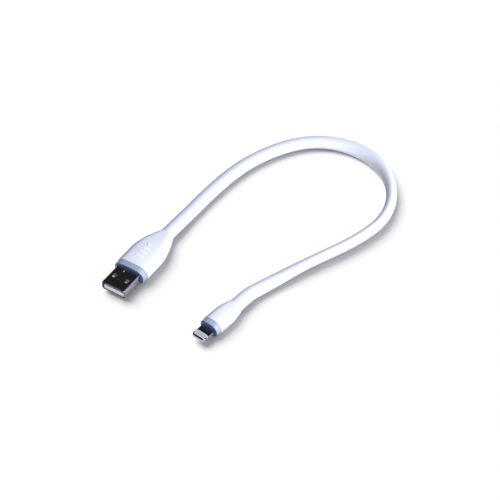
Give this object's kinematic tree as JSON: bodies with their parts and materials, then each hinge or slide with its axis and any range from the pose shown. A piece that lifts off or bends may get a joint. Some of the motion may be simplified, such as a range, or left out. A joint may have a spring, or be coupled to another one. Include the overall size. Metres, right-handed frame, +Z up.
{
  "type": "charging cable",
  "caption": "Short, thick white charging cable on a flat surface, a type A plug at one end and a slim reversible tab plug at the other, with an open loop of oval cord between them.",
  "frame": {"origin": "on the flat underside of the type A plug's boot, on the plug's centreline, on the surface the cable lies on", "axes": "+Y along the type A plug from its mouth to its cord, +Z up, +X towards the side the cord loops round to"},
  "size_m": [0.0864, 0.1425, 0.0086],
  "materials": {
    "white_elastomer": "white thermoplastic elastomer, soft satin, moulded",
    "grey_collar": "blue-grey moulded plastic, satin",
    "plated_steel": "nickel plated sheet steel, smooth and bright",
    "crimp_steel": "tinned sheet steel",
    "white_insulator": "white glass-filled insulator",
    "gold_plate": "gold flash on spring bronze",
    "contact_plate": "pale hard plating, reads grey",
    "natural_mould": "natural polyethylene pre-mould",
    "tinned_braid": "tinned copper braid",
    "black_insulation": "black wire insulation",
    "green_insulation": "green wire insulation",
    "white_insulation": "white wire insulation",
    "red_insulation": "red wire insulation",
    "green_board": "green solder resist on glass-epoxy board",
    "black_chip": "black moulded chip package",
    "tan_ceramic": "ceramic chip capacitor"
  },
  "bodies": {
    "root": {"usb_shell": "plated_steel", "usb_insulator": "white_insulator", "usb_contact_1": "gold_plate", "usb_contact_2": "gold_plate", "usb_contact_3": "gold_plate", "usb_contact_4": "gold_plate", "usb_collar": "grey_collar", "usb_inner_mould": "natural_mould", "usb_crimp_ferrule": "crimp_steel", "usb_boot": "white_elastomer", "cord_jacket": "white_elastomer", "cord_braid": "tinned_braid", "wire_ground_black": "black_insulation", "wire_data_green": "green_insulation", "wire_data_white": "white_insulation", "wire_power_red": "red_insulation", "tab_boot": "white_elastomer", "tab_collar": "grey_collar", "tab_blade": "plated_steel", "tab_contact_carrier": "white_insulator", "tab_contact_top_1": "contact_plate", "tab_contact_top_2": "contact_plate", "tab_contact_top_3": "contact_plate", "tab_contact_top_4": "contact_plate", "tab_contact_top_5": "contact_plate", "tab_contact_top_6": "contact_plate", "tab_contact_top_7": "contact_plate", "tab_contact_top_8": "contact_plate", "tab_contact_under_1": "contact_plate", "tab_contact_under_2": "contact_plate", "tab_contact_under_3": "contact_plate", "tab_contact_under_4": "contact_plate", "tab_contact_under_5": "contact_plate", "tab_contact_under_6": "contact_plate", "tab_contact_under_7": "contact_plate", "tab_contact_under_8": "contact_plate", "tab_board": "green_board", "tab_control_chip": "black_chip", "tab_power_chip": "black_chip", "tab_capacitor_1": "tan_ceramic", "tab_capacitor_2": "tan_ceramic", "tab_shield_can": "crimp_steel", "tab_inner_mould": "natural_mould", "tab_crimp_ferrule": "crimp_steel"}
  },
  "joints": []
}
